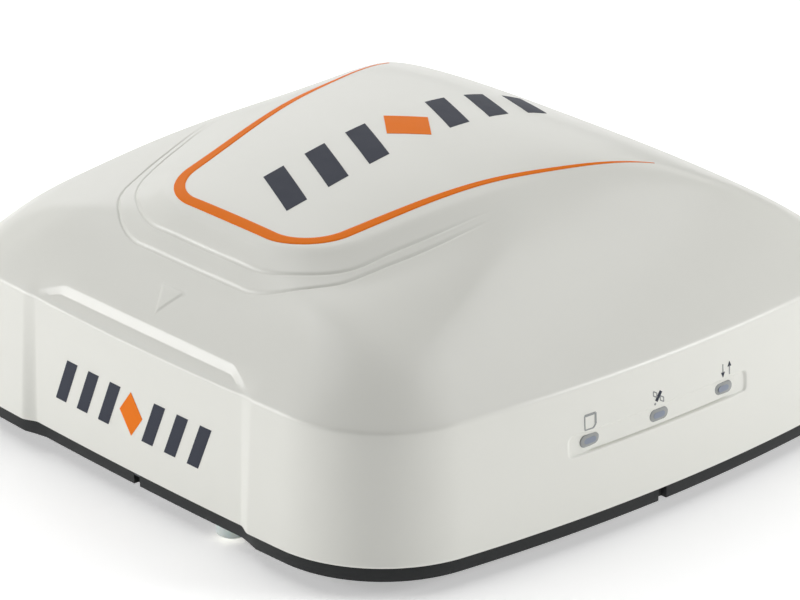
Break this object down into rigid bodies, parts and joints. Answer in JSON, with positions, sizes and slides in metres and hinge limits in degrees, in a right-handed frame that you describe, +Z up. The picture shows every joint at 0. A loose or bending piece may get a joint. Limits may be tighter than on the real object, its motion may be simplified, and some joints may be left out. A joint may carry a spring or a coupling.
{
  "type": "gnss receiver",
  "caption": "Sealed square satellite-positioning receiver: white domed radome on a black cast base, status lamps, lidded rear sockets and a service door.",
  "frame": {"origin": "mouth of the pole thread, at the centre of the footprint, on the plane that the feet stand on", "axes": "+Z up; -Y is the front with the recessed panel and the direction arrow; +X is the lamp side"},
  "size_m": [0.162, 0.1661, 0.0686],
  "materials": {
    "white_plastic": "satin moulded, fine texture",
    "black_cast": "black anodised and painted die casting",
    "black_plastic": "fine textured",
    "seal_rubber": "silicone",
    "black_rubber": "matt",
    "pale_plug": "translucent white",
    "brass": "machined",
    "steel": "machined",
    "gold": "gold plated",
    "pcb": "solder mask",
    "shield": "tin plated",
    "component": "moulded",
    "ceramic": "fired ceramic",
    "silver": "silver fired",
    "plate": "passivated",
    "copper": "coaxial jacket",
    "lamp": "diode",
    "light_pipe": "clear grey"
  },
  "bodies": {
    "housing": {"top_cover": "white_plastic", "cover_inserts": "brass", "base_plate": "black_cast", "rim_seal": "seal_rubber", "rubber_feet": "black_rubber", "pole_insert": "brass", "bracket_inserts": "brass", "cover_screws": "steel", "vent_plug": "pale_plug", "rear_panel": "black_plastic", "panel_seal": "seal_rubber", "panel_screws": "steel", "power_socket": "steel", "data_socket": "steel", "socket_cores": "component", "socket_contacts": "gold", "socket_seals": "seal_rubber", "socket_nuts": "steel", "hinge_pins": "steel", "io_board": "pcb", "sim_holder": "shield", "sim_card": "component", "usb_port": "shield", "main_board": "pcb", "board_standoffs": "brass", "board_screws": "steel", "gnss_module": "pcb", "gnss_shield": "shield", "modem_module": "shield", "wireless_module": "shield", "power_parts": "component", "board_headers": "component", "antenna_standoffs": "brass", "ground_plate": "plate", "antenna_screws": "steel", "antenna_board": "pcb", "amplifier_shield": "shield", "lower_patch": "ceramic", "upper_patch": "ceramic", "patch_electrodes": "silver", "feed_pins": "gold", "rf_cable": "copper", "cellular_antenna": "copper", "wifi_antenna": "copper", "led_board": "pcb", "lamp_chips": "lamp", "light_pipes": "light_pipe", "socket_harness": "black_rubber"},
    "power_lid": {"power_cap": "black_rubber"},
    "data_lid": {"data_cap": "black_rubber"},
    "service_door": {"sim_door": "black_plastic", "sim_door_seal": "seal_rubber"}
  },
  "joints": [
    {"name": "power_lid_hinge", "type": "hinge", "parent": "housing", "child": "power_lid", "pos_m": [-0.033, 0.0813, 0.0093], "axis": [-1, 0, 0], "range_deg": [0, 90]},
    {"name": "data_lid_hinge", "type": "hinge", "parent": "housing", "child": "data_lid", "pos_m": [-0.009, 0.0813, 0.0093], "axis": [-1, 0, 0], "range_deg": [0, 90]},
    {"name": "service_door_hinge", "type": "hinge", "parent": "housing", "child": "service_door", "pos_m": [0.026, 0.0813, 0.0093], "axis": [-1, 0, 0], "range_deg": [0, 90]}
  ]
}
